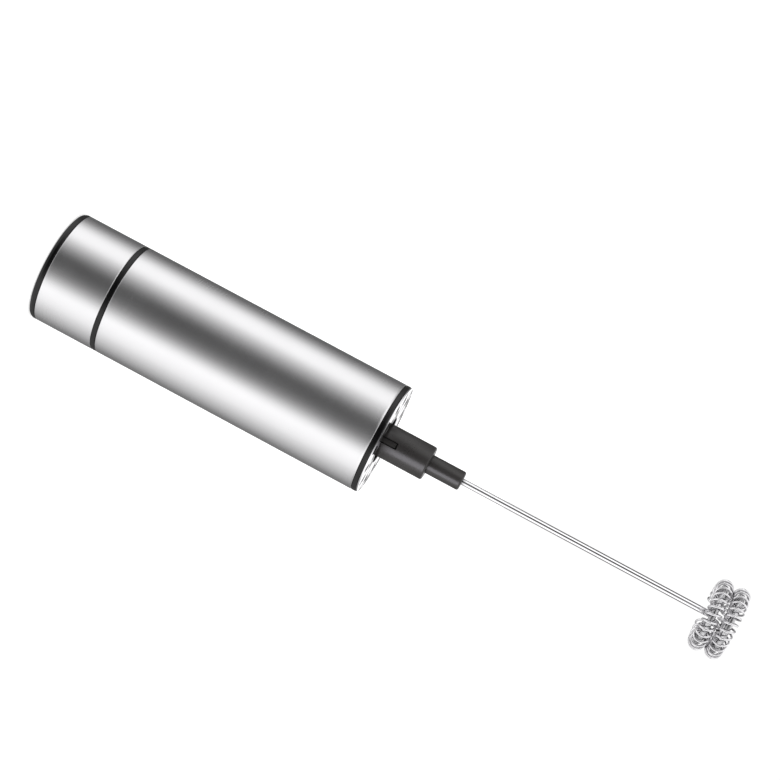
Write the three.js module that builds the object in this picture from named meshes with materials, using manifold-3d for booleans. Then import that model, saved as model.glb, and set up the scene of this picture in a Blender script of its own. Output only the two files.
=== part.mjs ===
// Handheld battery milk frother. Millimetres, +Z up.
// The object stands upright on the flat ring at its rear end: z = 0 is that face, +Z runs along the
// handle's axis to the whisk, and the key slot of the whisk hub faces -Y.
import * as THREE from "three";
import { mergeVertices } from "three/addons/utils/BufferGeometryUtils.js";
import Module from "manifold-3d";

// ---- driving dimensions ----------------------------------------------------------------------
const BODY_R = 16; // outside radius of the handle
const WALL = 0.5; // sheet thickness of the steel tubes
const FIT = 0.1; // gap between pieces that sit in or on each other
const BORE_R = BODY_R - WALL - FIT; // outside radius of everything that goes inside the tubes
const SEAM_Z0 = 19.4, SEAM_Z1 = 20.9; // black ring between battery cap and tube
const END_RING_Z = 1.95; // visible height of the rear end ring
const TUBE_Z1 = 100.6; // front end of the steel tube
const PLATE_Z0 = 102.15, PLATE_Z1 = 102.45; // perforated front plate
const PLATE_R = 15.9, PLATE_HOLE_R = 6.8;
const VENT_COUNT = 12, VENT_R = 1.2, VENT_PCR = 12.2, VENT_TURN = 15; // first vent VENT_TURN degrees from +X
const CELL_R = 7.1, CELL_X = 7.25; // AA cell radius, and offset of each cell from the axis
const CELL_Z0 = 17.2, CELL_Z1 = 67.7, NUB = 1.2, NUB_R = 2.7;
const HOUSING_Z0 = 26.3, BULKHEAD_Z0 = 69.7, BULKHEAD_Z1 = 71.1;
const POST_Y = 10.5; // screw bosses and cap tongues sit on the Y axis at this radius
const MOTOR_Z0 = 71.65, MOTOR_BELL_Z1 = 75.65, MOTOR_Z1 = 96.75; // 25.1 mm long motor
const MOTOR_R = 10.05, MOTOR_FLAT = 7.55; // round can with two flats
const BOSS_R = 3.05, BOSS_Z1 = 98.35;
const WEB_Z0 = 98.95; // rear face of the front ring's web
const SHAFT_R = 1;
const HUB_R = 4.9, HUB_Z0 = 100.2, HUB_Z1 = 116.15;
const SPINDLE_R = 3.2, SPINDLE_Z1 = 110.4;
const KEY_W = 1.5, SLOT_W = 1.9, SLOT_Z1 = 106.6;
const STEP_Z = 111; // where the hub's bore steps down to the collar
const COLLAR_R = 2.75, COLLAR_Z1 = 126.25;
const ROD_R = 0.92;
const RING_R = 8.01; // mean radius of the two whisk rings
const RING_Z1 = 201.7, RING_Z2 = 206.65; // planes of the two rings
const COIL_R = 2.13, COIL_WIRE_R = 0.29, COIL_TURNS = 28; // turns in a full ring
const BUTTON_R = 8.2, BUTTON_HOLE_R = 8.6, BUTTON_TRAVEL = 1.5;

const wasm = await Module();
wasm.setup();

// ---- materials -------------------------------------------------------------------------------
const mat = (color, roughness, metalness) => new THREE.MeshStandardMaterial({ color, roughness, metalness });
const STEEL = mat(0xc9c9cc, 0.28, 1);
const POLISHED = mat(0xe4e2e8, 0.12, 1);
const SPRING = mat(0xbdbac0, 0.2, 1);
const BLACK = mat(0x2a2a2c, 0.35, 0);
const CHARCOAL = mat(0x38363a, 0.42, 0);
const INNER = mat(0x33363a, 0.6, 0);
const WHITE = mat(0xe6e3da, 0.5, 0);
const BRASS = mat(0xc7a455, 0.35, 1);
const COPPER = mat(0xb8692f, 0.35, 1);
const CELL = mat(0x2f6f4e, 0.4, 0);
const CELL2 = mat(0x2f6f4e, 0.4, 0);
const IRON = mat(0x75757a, 0.5, 1);
const MAGNET = mat(0x3a3a3d, 0.7, 0.2);
const RED = mat(0xb3261e, 0.5, 0);

// ---- solids ----------------------------------------------------------------------------------
function solid(geometry) {
  const g = geometry.clone();
  g.deleteAttribute("normal");
  g.deleteAttribute("uv");
  const m = mergeVertices(g, 1e-4);
  return new wasm.Manifold(
    new wasm.Mesh({
      numProp: 3,
      vertProperties: new Float32Array(m.attributes.position.array),
      triVerts: new Uint32Array(m.index.array),
    }),
  );
}
function geometryOf(manifold) {
  const m = manifold.getMesh();
  const v = new Float32Array(m.numVert * 3);
  for (let i = 0; i < m.numVert; i++) v.set(m.vertProperties.subarray(i * m.numProp, i * m.numProp + 3), i * 3);
  const g = new THREE.BufferGeometry();
  g.setAttribute("position", new THREE.BufferAttribute(v, 3));
  g.setIndex(new THREE.BufferAttribute(new Uint32Array(m.triVerts), 1));
  g.computeVertexNormals();
  return g;
}
// A body of revolution about Z from a closed [r, z] profile that runs counter-clockwise in (r, z).
function lathe(profile, segments = 40) {
  const pts = profile.map(([r, z]) => new THREE.Vector2(r, z));
  if (profile[0][0] > 0 || profile.at(-1)[0] > 0) pts.push(pts[0].clone());
  const g = new THREE.LatheGeometry(pts, segments);
  g.rotateX(Math.PI / 2); // the profile's height becomes Z
  g.rotateZ(Math.PI / 2);
  const s = solid(g);
  if (s.volume() > 0) return s;
  const flipped = new THREE.LatheGeometry([...pts].reverse(), segments);
  flipped.rotateX(Math.PI / 2);
  flipped.rotateZ(Math.PI / 2);
  return solid(flipped);
}
const disc = (r, z0, z1, x = 0, y = 0, segments = 24) =>
  lathe([[0, z0], [r, z0], [r, z1], [0, z1]], segments).translate([x, y, 0]);
function box(x0, x1, y0, y1, z0, z1) {
  const g = new THREE.BoxGeometry(x1 - x0, y1 - y0, z1 - z0);
  g.translate((x0 + x1) / 2, (y0 + y1) / 2, (z0 + z1) / 2);
  return solid(g);
}
function extrude(points, z0, z1) {
  const shape = new THREE.Shape(points.map(([x, y]) => new THREE.Vector2(x, y)));
  const g = new THREE.ExtrudeGeometry(shape, { depth: z1 - z0, bevelEnabled: false });
  g.translate(0, 0, z0);
  return solid(g);
}
// A wire of round section along a curve. The curve is sampled at its own parameter steps.
class WirePath extends THREE.Curve {
  constructor(points) {
    super();
    this.points = points;
  }
  getPoint(t, target = new THREE.Vector3()) {
    const n = this.points.length - 1;
    const i = Math.min(n - 1, Math.floor(t * n + 1e-9));
    return target.lerpVectors(this.points[i], this.points[i + 1], t * n - i);
  }
  getPointAt(u, target) {
    return this.getPoint(u, target);
  }
  getTangentAt(u, target = new THREE.Vector3()) {
    const n = this.points.length - 1;
    const i = Math.round(u * n);
    const a = this.points[Math.max(0, i - 1)], b = this.points[Math.min(n, i + 1)];
    return target.subVectors(b, a).normalize();
  }
}
function wire(points, radius, sides = 6) {
  const shape = new THREE.Shape();
  for (let i = 0; i < sides; i++) {
    const a = (2 * Math.PI * (i + 0.5)) / sides;
    const p = [radius * Math.cos(a), radius * Math.sin(a)];
    if (i) shape.lineTo(...p);
    else shape.moveTo(...p);
  }
  shape.closePath();
  const path = new WirePath(points.map((p) => new THREE.Vector3(...p)));
  return solid(
    new THREE.ExtrudeGeometry(shape, { steps: points.length - 1, extrudePath: path, bevelEnabled: false }),
  );
}
// Compression spring along Z at (x, y): flat end turns, then the active turns.
function coilSpring({ x = 0, y = 0, z0, z1, r0, r1 = r0, wireR, turns, perTurn = 9, sides = 4 }) {
  const pts = [];
  const n = Math.round((turns + 1.5) * perTurn);
  const flat = 0.75 * perTurn;
  for (let i = 0; i <= n; i++) {
    const t = Math.min(1, Math.max(0, (i - flat) / (n - 2 * flat)));
    const e = wireR * 2.2 * (i < flat ? i / flat - 1 : i > n - flat ? (i - (n - flat)) / flat : 0);
    const z = z0 + wireR + wireR * 2.2 + t * (z1 - z0 - wireR * 6.4) + e;
    const r = r0 + (r1 - r0) * t;
    const a = (2 * Math.PI * i) / perTurn;
    pts.push([x + r * Math.cos(a), y + r * Math.sin(a), z]);
  }
  return wire(pts, wireR, sides);
}

const group = new THREE.Group();
function part(name, manifold, material, parent = group) {
  const mesh = new THREE.Mesh(geometryOf(manifold), material);
  mesh.name = name;
  parent.add(mesh);
  return mesh;
}

// ---- steel tube and its rings ----------------------------------------------------------------
const tube = (z0, z1) =>
  lathe([[BODY_R - WALL, z0], [BODY_R, z0], [BODY_R, z1], [BODY_R - WALL, z1]]);
part("body_tube", tube(SEAM_Z1, TUBE_Z1), STEEL);
part(
  "seam_ring",
  lathe([
    [14.6, SEAM_Z0 + FIT], [BODY_R, SEAM_Z0 + FIT], [BODY_R, SEAM_Z1 - FIT],
    [BORE_R, SEAM_Z1 - FIT], [BORE_R, HOUSING_Z0 - 0.2], [14.6, HOUSING_Z0 - 0.2],
  ]),
  BLACK,
);
// End ring with a channel behind the plate's holes and a collar round the central opening.
part(
  "front_ring",
  lathe([
    [6.9, WEB_Z0], [BORE_R, WEB_Z0], [BORE_R, TUBE_Z1 + FIT], [BODY_R, TUBE_Z1 + FIT],
    [BODY_R, PLATE_Z0 - 0.05], [14.6, PLATE_Z0 - 0.05], [14.6, 100.6], [7.9, 100.6],
    [7.9, PLATE_Z0 - 0.05], [6.9, PLATE_Z0 - 0.05],
  ]),
  BLACK,
);
{
  const shape = new THREE.Shape();
  for (let i = 0; i < 40; i++) {
    const a = (2 * Math.PI * i) / 40;
    const p = [PLATE_R * Math.cos(a), PLATE_R * Math.sin(a)];
    if (i) shape.lineTo(...p);
    else shape.moveTo(...p);
  }
  const hole = (r, x, y, n) => {
    const h = new THREE.Path();
    for (let i = 0; i < n; i++) {
      const a = (-2 * Math.PI * i) / n;
      const p = [x + r * Math.cos(a), y + r * Math.sin(a)];
      if (i) h.lineTo(...p);
      else h.moveTo(...p);
    }
    shape.holes.push(h);
  };
  hole(PLATE_HOLE_R, 0, 0, 32);
  for (let i = 0; i < VENT_COUNT; i++) {
    const a = (2 * Math.PI * i) / VENT_COUNT + (VENT_TURN * Math.PI) / 180;
    hole(VENT_R, VENT_PCR * Math.cos(a), VENT_PCR * Math.sin(a), 10);
  }
  const g = new THREE.ExtrudeGeometry(shape, { depth: PLATE_Z1 - PLATE_Z0, bevelEnabled: false });
  g.translate(0, 0, PLATE_Z0);
  part("front_plate", solid(g), POLISHED);
}

// ---- battery housing, cells and front contacts -------------------------------------------------
{
  let h = lathe([[0, HOUSING_Z0], [BORE_R, HOUSING_Z0], [BORE_R, BULKHEAD_Z1], [0, BULKHEAD_Z1]]);
  for (const s of [-1, 1]) {
    h = h.subtract(disc(7.4, HOUSING_Z0 - 1, BULKHEAD_Z0, s * CELL_X, 0, 32)); // cell bores
    h = h.subtract(disc(4, HOUSING_Z0 - 1, BULKHEAD_Z0 - 1, 0, s * POST_Y, 20)); // tongue and screw channels
    h = h.subtract(disc(1.2, BULKHEAD_Z0 - 2, BULKHEAD_Z1 + 1, 0, s * POST_Y, 12)); // screw holes
    h = h.subtract(disc(1.0, BULKHEAD_Z0 - 1, BULKHEAD_Z1 + 1, s * 12.6, 0, 10)); // lead holes
  }
  part("battery_housing", h, INNER);
}
const cell = (x, up) => {
  const profile = up
    ? [[0, CELL_Z0], [CELL_R - 0.8, CELL_Z0], [CELL_R, CELL_Z0 + 0.5], [CELL_R, CELL_Z1 - NUB - 0.5],
       [CELL_R - 0.8, CELL_Z1 - NUB], [NUB_R, CELL_Z1 - NUB], [NUB_R, CELL_Z1], [0, CELL_Z1]]
    : [[0, CELL_Z0], [NUB_R, CELL_Z0], [NUB_R, CELL_Z0 + NUB], [CELL_R - 0.8, CELL_Z0 + NUB],
       [CELL_R, CELL_Z0 + NUB + 0.5], [CELL_R, CELL_Z1 - 0.5], [CELL_R - 0.8, CELL_Z1], [0, CELL_Z1]];
  return lathe(profile, 24).translate([x, 0, 0]);
};
part("battery_1", cell(CELL_X, true), CELL);
part("battery_2", cell(-CELL_X, false), CELL2);
// Stamped contact with a dome towards the cell and a tab out to the lead.
{
  const z = BULKHEAD_Z0 - 0.1;
  const dome = lathe([[0, z - 1.65], [1.6, z - 1.65], [2.6, z - 0.4], [4.5, z - 0.4], [4.5, z], [2.3, z], [1.4, z - 1.25], [0, z - 1.25]], 16);
  part("front_contact_plate", dome.translate([CELL_X, 0, 0]).add(box(11.2, 13.4, -1, 1, z - 0.4, z)), BRASS);
}
part(
  "front_contact_spring",
  coilSpring({ x: -CELL_X, z0: CELL_Z1 + 0.2, z1: BULKHEAD_Z0 - 0.1, r0: 2.4, r1: 4.4, wireR: 0.2, turns: 1.2 }),
  SPRING,
);
// Short leads through the bulkhead to the motor terminals.
const lead = (s, z0) =>
  wire(
    [[12.6, z0], [12.6, 72.3], [12.75, 73.2], [13.1, 73.9], [13.1, 74.7]].map(([x, z]) => [s * x, 0, z]),
    0.5, 8,
  );
part("lead_red", lead(1, BULKHEAD_Z0 + 0.05), RED);
part("lead_black", lead(-1, BULKHEAD_Z0 + 0.25), BLACK);
const screw = (y) =>
  lathe([[0, 66.8], [1.6, 66.9], [1.9, 67.2], [1.9, 68.5], [0.95, 68.5], [0.95, 77], [0, 78]], 12)
    .subtract(box(-1.2, 1.2, -0.25, 0.25, 66, 67.6).add(box(-0.25, 0.25, -1.2, 1.2, 66, 67.6)))
    .translate([0, y, 0]);
part("chassis_screw_1", screw(POST_Y), IRON);
part("chassis_screw_2", screw(-POST_Y), IRON);

// ---- motor --------------------------------------------------------------------------------------
const canOutline = (r, flat, n = 28) => {
  const pts = [];
  for (let i = 0; i < n; i++) {
    const a = (2 * Math.PI * (i + 0.5)) / n;
    pts.push([r * Math.cos(a), Math.max(-flat, Math.min(flat, r * Math.sin(a)))]);
  }
  // points that share a flat are thinned to its two ends
  return pts.filter(([x, y], i) => {
    const p = pts[(i + n - 1) % n], q = pts[(i + 1) % n];
    return !(p[1] === y && q[1] === y);
  });
};
part(
  "motor_can",
  extrude(canOutline(MOTOR_R, MOTOR_FLAT), MOTOR_BELL_Z1 + FIT, MOTOR_Z1)
    .subtract(extrude(canOutline(MOTOR_R - 0.7, MOTOR_FLAT - 0.7), MOTOR_BELL_Z1 - 1, MOTOR_Z1 - 0.8))
    .add(disc(BOSS_R, MOTOR_Z1 - 0.4, BOSS_Z1, 0, 0, 20))
    .subtract(disc(1.2, MOTOR_Z1 - 2, BOSS_Z1 + 1, 0, 0, 12)),
  IRON,
);
part(
  "motor_end_bell",
  extrude(canOutline(MOTOR_R, MOTOR_FLAT), MOTOR_Z0, MOTOR_BELL_Z1)
    .subtract(disc(1.2, MOTOR_Z0 + 1, MOTOR_BELL_Z1 + 1, 0, 0, 12))
    .subtract(disc(6.2, MOTOR_Z0 + 1.6, MOTOR_BELL_Z1 + 1, 0, 0, 20))
    .subtract(box(-11, 11, -1.1, 1.1, MOTOR_Z0 + 1.9, MOTOR_BELL_Z1 + 1)),
  WHITE,
);
// Each terminal is one strip: solder tab outside, brush arm inside, resting by the commutator.
const terminal = (s) =>
  box(Math.min(s * 2.75, s * 12.4), Math.max(s * 2.75, s * 12.4), -0.9, 0.9, MOTOR_Z0 + 2.3, MOTOR_Z0 + 2.7)
    .add(box(Math.min(s * 2.75, s * 3.15), Math.max(s * 2.75, s * 3.15), -0.9, 0.9, MOTOR_Z0 + 2.3, MOTOR_Z0 + 5.2));
part("motor_terminal_1", terminal(1), BRASS);
part("motor_terminal_2", terminal(-1), BRASS);
const magnet = (s) => {
  const pts = [];
  const n = 7, half = (38 * Math.PI) / 180;
  for (let i = 0; i <= n; i++) { const a = -half + (2 * half * i) / n; pts.push([9.2 * Math.cos(a), 9.2 * Math.sin(a)]); }
  for (let i = n; i >= 0; i--) { const a = -half + (2 * half * i) / n; pts.push([7.3 * Math.cos(a), 7.3 * Math.sin(a)]); }
  const m = extrude(pts, 79, 93.5);
  return s > 0 ? m : m.rotate([0, 0, 180]);
};
part("motor_magnet_1", magnet(1), MAGNET);
part("motor_magnet_2", magnet(-1), MAGNET);
{
  let c = lathe([[0, 76.2], [BORE_R, 76.2], [BORE_R, BOSS_Z1], [0, BOSS_Z1]]);
  c = c.subtract(extrude(canOutline(MOTOR_R + 0.15, MOTOR_FLAT + 0.15), 75, MOTOR_Z1 + 0.15));
  c = c.subtract(disc(BOSS_R + 0.25, MOTOR_Z1 - 1, BOSS_Z1 + 1, 0, 0, 20));
  for (const s of [-1, 1]) {
    c = c.add(disc(2.4, BULKHEAD_Z1 + 0.1, 77, 0, s * POST_Y, 16));
    c = c.subtract(disc(1.1, BULKHEAD_Z1 - 1, 81, 0, s * POST_Y, 12));
    for (const t of [-1, 1]) c = c.subtract(disc(1.9, 75, 96, s * 6.4, t * 10.9, 12)); // cored out
  }
  part("motor_cradle", c, INNER);
}

// ---- rotor -----------------------------------------------------------------------------------------
part("motor_shaft", disc(SHAFT_R, MOTOR_Z0 + 1.3, SPINDLE_Z1 - 1.6, 0, 0, 12), POLISHED);
{
  // three-pole stack: T-shaped poles round a core, bored for the shaft
  const pts = [];
  for (let k = 0; k < 3; k++) {
    const c = (2 * Math.PI * k) / 3;
    const rot = (x, y) => pts.push([x * Math.cos(c) - y * Math.sin(c), x * Math.sin(c) + y * Math.cos(c)]);
    rot(2.2, -1.0);
    rot(5.2, -1.0);
    rot(4.9, -4.0);
    for (const d of [-38, -19, 0, 19, 38]) rot(6.5 * Math.cos((d * Math.PI) / 180), 6.5 * Math.sin((d * Math.PI) / 180));
    rot(4.9, 4.0);
    rot(5.2, 1.0);
    rot(2.2, 1.0);
  }
  part("rotor_core", extrude(pts, 79.8, 92.6).subtract(disc(SHAFT_R + 0.05, 79, 94, 0, 0, 12)), IRON);
}
for (let k = 0; k < 3; k++) {
  const w = box(2.9, 4.8, -2.0, 2.0, 78.8, 93.6).subtract(box(2, 6, -1.1, 1.1, 79.7, 92.7));
  part("rotor_winding_" + (k + 1), w.rotate([0, 0, 120 * k]), COPPER);
}
part(
  "commutator",
  lathe([[SHAFT_R + 0.05, 74.2], [2.4, 74.2], [2.4, 77.3], [2.8, 77.3], [2.8, 78.3], [SHAFT_R + 0.05, 78.3]], 16),
  COPPER,
);
{
  let c = lathe([[SHAFT_R + 0.05, WEB_Z0], [4.6, WEB_Z0], [4.6, HUB_Z0 - 0.15], [SPINDLE_R, HUB_Z0 - 0.15], [SPINDLE_R, SPINDLE_Z1 - 0.6], [SPINDLE_R - 0.6, SPINDLE_Z1], [SHAFT_R + 0.05, SPINDLE_Z1]], 24);
  for (const s of [-1, 1])
    c = c.add(box(-KEY_W / 2, KEY_W / 2, Math.min(s * 2.6, s * 4.45), Math.max(s * 2.6, s * 4.45), HUB_Z0 - 0.6, SLOT_Z1 - 0.35));
  part("drive_coupler", c, CHARCOAL);
}

// ---- whisk -----------------------------------------------------------------------------------------
{
  const f = 0.6, arc = [0, 30, 60, 90].map((d) => [HUB_R - f + f * Math.cos((d * Math.PI) / 180), HUB_Z1 - f + f * Math.sin((d * Math.PI) / 180)]);
  let h = lathe([[SPINDLE_R + 0.1, HUB_Z0], [HUB_R, HUB_Z0], ...arc, [COLLAR_R + 0.05, HUB_Z1], [COLLAR_R + 0.05, STEP_Z], [SPINDLE_R + 0.1, STEP_Z]], 32);
  for (const s of [-1, 1])
    h = h.subtract(box(-SLOT_W / 2, SLOT_W / 2, Math.min(s * 2, s * 6), Math.max(s * 2, s * 6), HUB_Z0 - 1, SLOT_Z1));
  part("whisk_hub", h, CHARCOAL);
}
part(
  "rod_collar",
  lathe([[ROD_R + 0.06, STEP_Z + 0.1], [COLLAR_R, STEP_Z + 0.1], [COLLAR_R, COLLAR_Z1 - 0.5], [COLLAR_R - 0.15, COLLAR_Z1 - 0.15], [COLLAR_R - 0.5, COLLAR_Z1], [ROD_R + 0.06, COLLAR_Z1]], 24),
  CHARCOAL,
);
// The rod, the arm and both rings are one bent wire. Angle 0 of the rings is +Y, where the arm meets
// the rear ring; the wire runs round it, turns back beside the arm and runs round the front ring.
const U_R = (RING_Z2 - RING_Z1) / 2; // radius of the turn between the rings
const U_CENTRE = 347.5 - (U_R / RING_R) * (180 / Math.PI); // angle where that turn begins
const onRing = (deg, z, r = RING_R) => {
  const a = (deg * Math.PI) / 180;
  return [-r * Math.sin(a), r * Math.cos(a), z];
};
{
  const pts = [[0, 0, STEP_Z + 1.2], [0, 0, 135], [0, 0, 160], [0, 0, 185]];
  const b = 2.2; // bend radius from the rod to the arm
  for (const d of [0, 18, 36, 54, 72, 90]) {
    const a = (d * Math.PI) / 180;
    pts.push([0, b - b * Math.cos(a), RING_Z1 - b + b * Math.sin(a)]);
  }
  const c = 1.7; // bend radius from the arm to the rear ring
  for (const d of [0, 22, 45, 68, 90]) {
    const a = (d * Math.PI) / 180;
    pts.push([-(c - c * Math.cos(a)), RING_R - 0.2 - c + c * Math.sin(a), RING_Z1]);
  }
  for (let d = 24; d < U_CENTRE; d += 12) pts.push(onRing(d, RING_Z1));
  for (const d of [0, 30, 60, 90, 120, 150, 180]) {
    const a = (d * Math.PI) / 180;
    pts.push(onRing(U_CENTRE + (U_R * Math.sin(a) / RING_R) * (180 / Math.PI), RING_Z1 + U_R - U_R * Math.cos(a)));
  }
  for (let d = U_CENTRE - 12; d > -18; d -= 12) pts.push(onRing(d, RING_Z2));
  part("whisk_rod", wire(pts, ROD_R, 8), POLISHED);
}
// Wire coils threaded on the two rings.
function ringCoil(z, from, to, phase) {
  const per = 8;
  const n = Math.round((Math.abs(to - from) / 360) * COIL_TURNS * per);
  const pts = [];
  for (let i = 0; i <= n; i++) {
    const deg = from + ((to - from) * i) / n;
    const t = (2 * Math.PI * i) / per + phase;
    pts.push(onRing(deg, z - COIL_R * Math.sin(t), RING_R + COIL_R * Math.cos(t))); // right-handed
  }
  return wire(pts, COIL_WIRE_R, 4);
}
part("whisk_coil_rear", ringCoil(RING_Z1, 16, 338.5, Math.PI), SPRING);
part("whisk_coil_front", ringCoil(RING_Z2, -3, 338.5, 0), SPRING);

// ---- battery cap ----------------------------------------------------------------------------------
part("cap_sleeve", tube(END_RING_Z, SEAM_Z0), STEEL);
part(
  "rear_end_ring",
  lathe([
    [BUTTON_HOLE_R, 0.25], [BUTTON_HOLE_R + 0.25, 0], [15, 0], [15.7, 0.3], [BODY_R, 1],
    [BODY_R, END_RING_Z - FIT], [BORE_R, END_RING_Z - FIT], [BORE_R, 6], [14.2, 6], [14.2, 1.75], [BUTTON_HOLE_R, 1.75],
  ]),
  BLACK,
);
{
  let p = lathe([[0, 12.3], [BORE_R, 12.3], [BORE_R, SEAM_Z0 - 0.2], [14.55, SEAM_Z0 - 0.2], [14.55, 14.3], [0, 14.3]]);
  p = p.add(box(-5.6, 5.6, -5.6, 5.6, 8.8, 12.5)).subtract(box(-4.35, 4.35, -4.35, 4.35, 8, 12.15)); // switch pocket
  for (const s of [-1, 1]) {
    p = p.add(disc(3.6, 13.8, 31, 0, s * POST_Y, 20)); // tongues that key the cap to the housing
    p = p.subtract(disc(2.6, 16, 32, 0, s * POST_Y, 16)); // cored out
    p = p.subtract(disc(0.9, 11, 15, s * CELL_X, 0, 10)); // contact pins
    p = p.subtract(box(Math.min(s * 3, s * 8.3), Math.max(s * 3, s * 8.3), -1.1, 1.1, 11.6, 12.4)); // strip slots
  }
  part("cap_plug", p, INNER);
}
part(
  "switch_body",
  box(-4.2, 4.2, -4.2, 4.2, 6.5, 11.5).subtract(box(-1.8, 1.8, -1.8, 1.8, 6, 9.9)),
  WHITE,
);
const tab = (s) =>
  box(Math.min(s * 3.4, s * 8.1), Math.max(s * 3.4, s * 8.1), -0.9, 0.9, 11.65, 12.05).add(disc(0.75, 11.7, 14.25, s * CELL_X, 0, 10));
part("switch_tab_1", tab(1), BRASS);
part("switch_tab_2", tab(-1), BRASS);
part(
  "cap_contact_spring",
  coilSpring({ x: CELL_X, z0: 14.4, z1: CELL_Z0 - 0.15, r0: 4.4, r1: 2.4, wireR: 0.2, turns: 1.6 }),
  SPRING,
);
part(
  "cap_contact_plate",
  lathe([[0, 16.6], [1.4, 16.6], [2.3, 14.4], [4.5, 14.4], [4.5, 14.8], [2.6, 14.8], [1.6, 17.0], [0, 17.0]], 16).translate([-CELL_X, 0, 0]),
  BRASS,
);

// ---- push button ----------------------------------------------------------------------------------
part(
  "power_button",
  lathe([[0, 0.45], [5, 0.55], [7.4, 0.8], [BUTTON_R, 1.3], [BUTTON_R, 2.05], [9.6, 2.05], [9.6, 2.9], [2, 2.9], [2, 4.6], [0, 4.6]], 24),
  BLACK,
);
part("switch_plunger", box(-1.55, 1.55, -1.55, 1.55, 4.7, 8.1), WHITE);
part("button_spring", coilSpring({ z0: 3.0, z1: 6.4, r0: 3.3, wireR: 0.22, turns: 3 }), SPRING);

export default group;
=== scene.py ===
import math

import bmesh
import bpy
from mathutils import Matrix, Vector


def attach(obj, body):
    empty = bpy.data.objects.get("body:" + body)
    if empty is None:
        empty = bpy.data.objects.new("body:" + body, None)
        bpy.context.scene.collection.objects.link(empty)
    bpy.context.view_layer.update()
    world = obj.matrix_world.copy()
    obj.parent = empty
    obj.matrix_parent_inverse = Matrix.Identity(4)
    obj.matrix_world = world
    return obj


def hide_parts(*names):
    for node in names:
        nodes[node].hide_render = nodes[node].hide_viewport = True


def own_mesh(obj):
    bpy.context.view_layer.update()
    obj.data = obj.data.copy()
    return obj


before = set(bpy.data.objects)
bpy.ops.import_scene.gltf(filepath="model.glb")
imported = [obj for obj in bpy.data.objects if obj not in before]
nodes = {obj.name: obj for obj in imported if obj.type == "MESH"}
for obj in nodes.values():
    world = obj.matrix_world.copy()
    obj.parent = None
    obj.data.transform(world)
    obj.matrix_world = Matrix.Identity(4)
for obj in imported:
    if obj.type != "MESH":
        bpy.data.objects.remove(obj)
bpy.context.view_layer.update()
M = 0.001


# ---- mesh helpers ----------------------------------------------------------------------------------
def rounded(points, steps=4, closed=True):
    """(r, z) or (r, z, fillet) points to (r, z) points, each fillet turned into an arc."""
    out = []
    n = len(points)
    for i, p in enumerate(points):
        f = p[2] if len(p) > 2 else 0.0
        if not closed and i in (0, n - 1):
            f = 0.0
        if f <= 0:
            out.append((p[0], p[1]))
            continue
        here = Vector((p[0], p[1]))
        a = Vector(points[i - 1][:2]) - here
        b = Vector(points[(i + 1) % n][:2]) - here
        la, lb = a.length, b.length
        a.normalize()
        b.normalize()
        angle = math.acos(max(-1.0, min(1.0, a.dot(b))))
        if angle > math.pi - 1e-3 or angle < 1e-3:
            out.append((p[0], p[1]))
            continue
        t = min(f / math.tan(angle / 2), 0.48 * la, 0.48 * lb)
        f = t * math.tan(angle / 2)
        centre = here + (a + b).normalized() * (f / math.sin(angle / 2))
        s, e = here + a * t - centre, here + b * t - centre
        turn = math.atan2(s.x * e.y - s.y * e.x, s.dot(e))
        for k in range(steps + 1):
            w = turn * k / steps
            out.append((centre.x + s.x * math.cos(w) - s.y * math.sin(w),
                        centre.y + s.x * math.sin(w) + s.y * math.cos(w)))
    return out


def mesh_of(verts, faces, name="m"):
    me = bpy.data.meshes.new(name)
    me.from_pydata([[c * M for c in v] for v in verts], [], faces)
    bm = bmesh.new()
    bm.from_mesh(me)
    bmesh.ops.recalc_face_normals(bm, faces=bm.faces)
    bm.to_mesh(me)
    bm.free()
    return me


def lathe(points, n=96, x=0.0, y=0.0, steps=4, turn=0.0):
    """A body of revolution about the vertical line through (x, y). A profile that starts and ends on the
    axis is closed there with one vertex; any other profile is a loop."""
    on_axis = points[0][0] == 0 and points[-1][0] == 0
    prof = rounded(points, steps, closed=not on_axis)
    verts, faces, rows = [], [], []
    for r, z in prof:
        if r == 0:
            rows.append([len(verts)])
            verts.append((x, y, z))
        else:
            rows.append(list(range(len(verts), len(verts) + n)))
            for k in range(n):
                a = 2 * math.pi * k / n + turn
                verts.append((x + r * math.cos(a), y + r * math.sin(a), z))
    pairs = list(zip(rows, rows[1:])) if on_axis else list(zip(rows, rows[1:] + rows[:1]))
    for a, b in pairs:
        for k in range(n):
            m = (k + 1) % n
            if len(a) == 1 and len(b) == 1:
                continue
            if len(a) == 1:
                faces.append((a[0], b[k], b[m]))
            elif len(b) == 1:
                faces.append((a[k], a[m], b[0]))
            else:
                faces.append((a[k], a[m], b[m], b[k]))
    return mesh_of(verts, faces)


def block(x0, x1, y0, y1, z0, z1):
    x0, x1 = min(x0, x1), max(x0, x1)
    y0, y1 = min(y0, y1), max(y0, y1)
    v = [(x, y, z) for z in (z0, z1) for x, y in ((x0, y0), (x1, y0), (x1, y1), (x0, y1))]
    f = [(3, 2, 1, 0), (4, 5, 6, 7), (0, 1, 5, 4), (1, 2, 6, 5), (2, 3, 7, 6), (3, 0, 4, 7)]
    return mesh_of(v, f)


def prism(outline, z0, z1):
    n = len(outline)
    v = [(x, y, z) for z in (z0, z1) for x, y in outline]
    f = [tuple(range(n))[::-1], tuple(range(n, 2 * n))]
    f += [(i, (i + 1) % n, n + (i + 1) % n, n + i) for i in range(n)]
    return mesh_of(v, f)


def disc(r, z0, z1, x=0.0, y=0.0, n=48, turn=0.0):
    return lathe([(0, z0), (r, z0), (r, z1), (0, z1)], n, x, y, turn=turn)


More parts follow.
